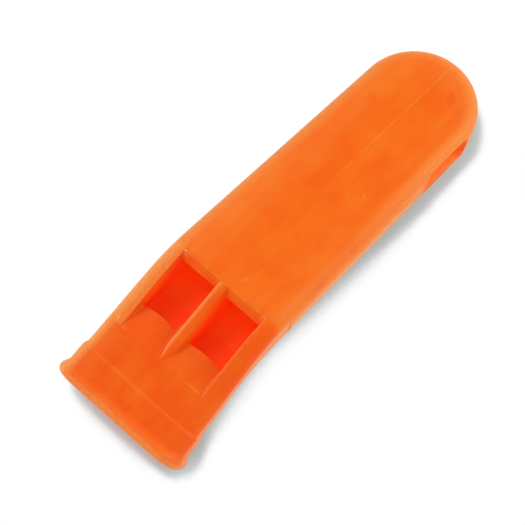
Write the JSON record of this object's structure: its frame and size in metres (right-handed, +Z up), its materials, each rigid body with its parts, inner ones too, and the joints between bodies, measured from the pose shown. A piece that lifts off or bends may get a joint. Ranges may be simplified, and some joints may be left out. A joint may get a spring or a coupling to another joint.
{
  "type": "emergency whistle",
  "caption": "Flat pealess whistle with a drooping beak, a flared bite lip, twin windows split by a rounded rib, and a lanyard slot through its round tail.",
  "frame": {"origin": "bottom centre of the box around the whistle as it lies on a table, on its lip and its tail", "axes": "+X from the mouth to the tail, +Y to the left side as seen from the mouth end looking along +X, +Z up"},
  "size_m": [0.0796, 0.0252, 0.0147],
  "materials": {
    "orange_plastic": "satin, as moulded"
  },
  "bodies": {
    "root": {"left_shell": "orange_plastic", "right_shell": "orange_plastic", "centre_divider": "orange_plastic", "left_windway_plate": "orange_plastic", "right_windway_plate": "orange_plastic", "mouth_collar": "orange_plastic"}
  },
  "joints": []
}
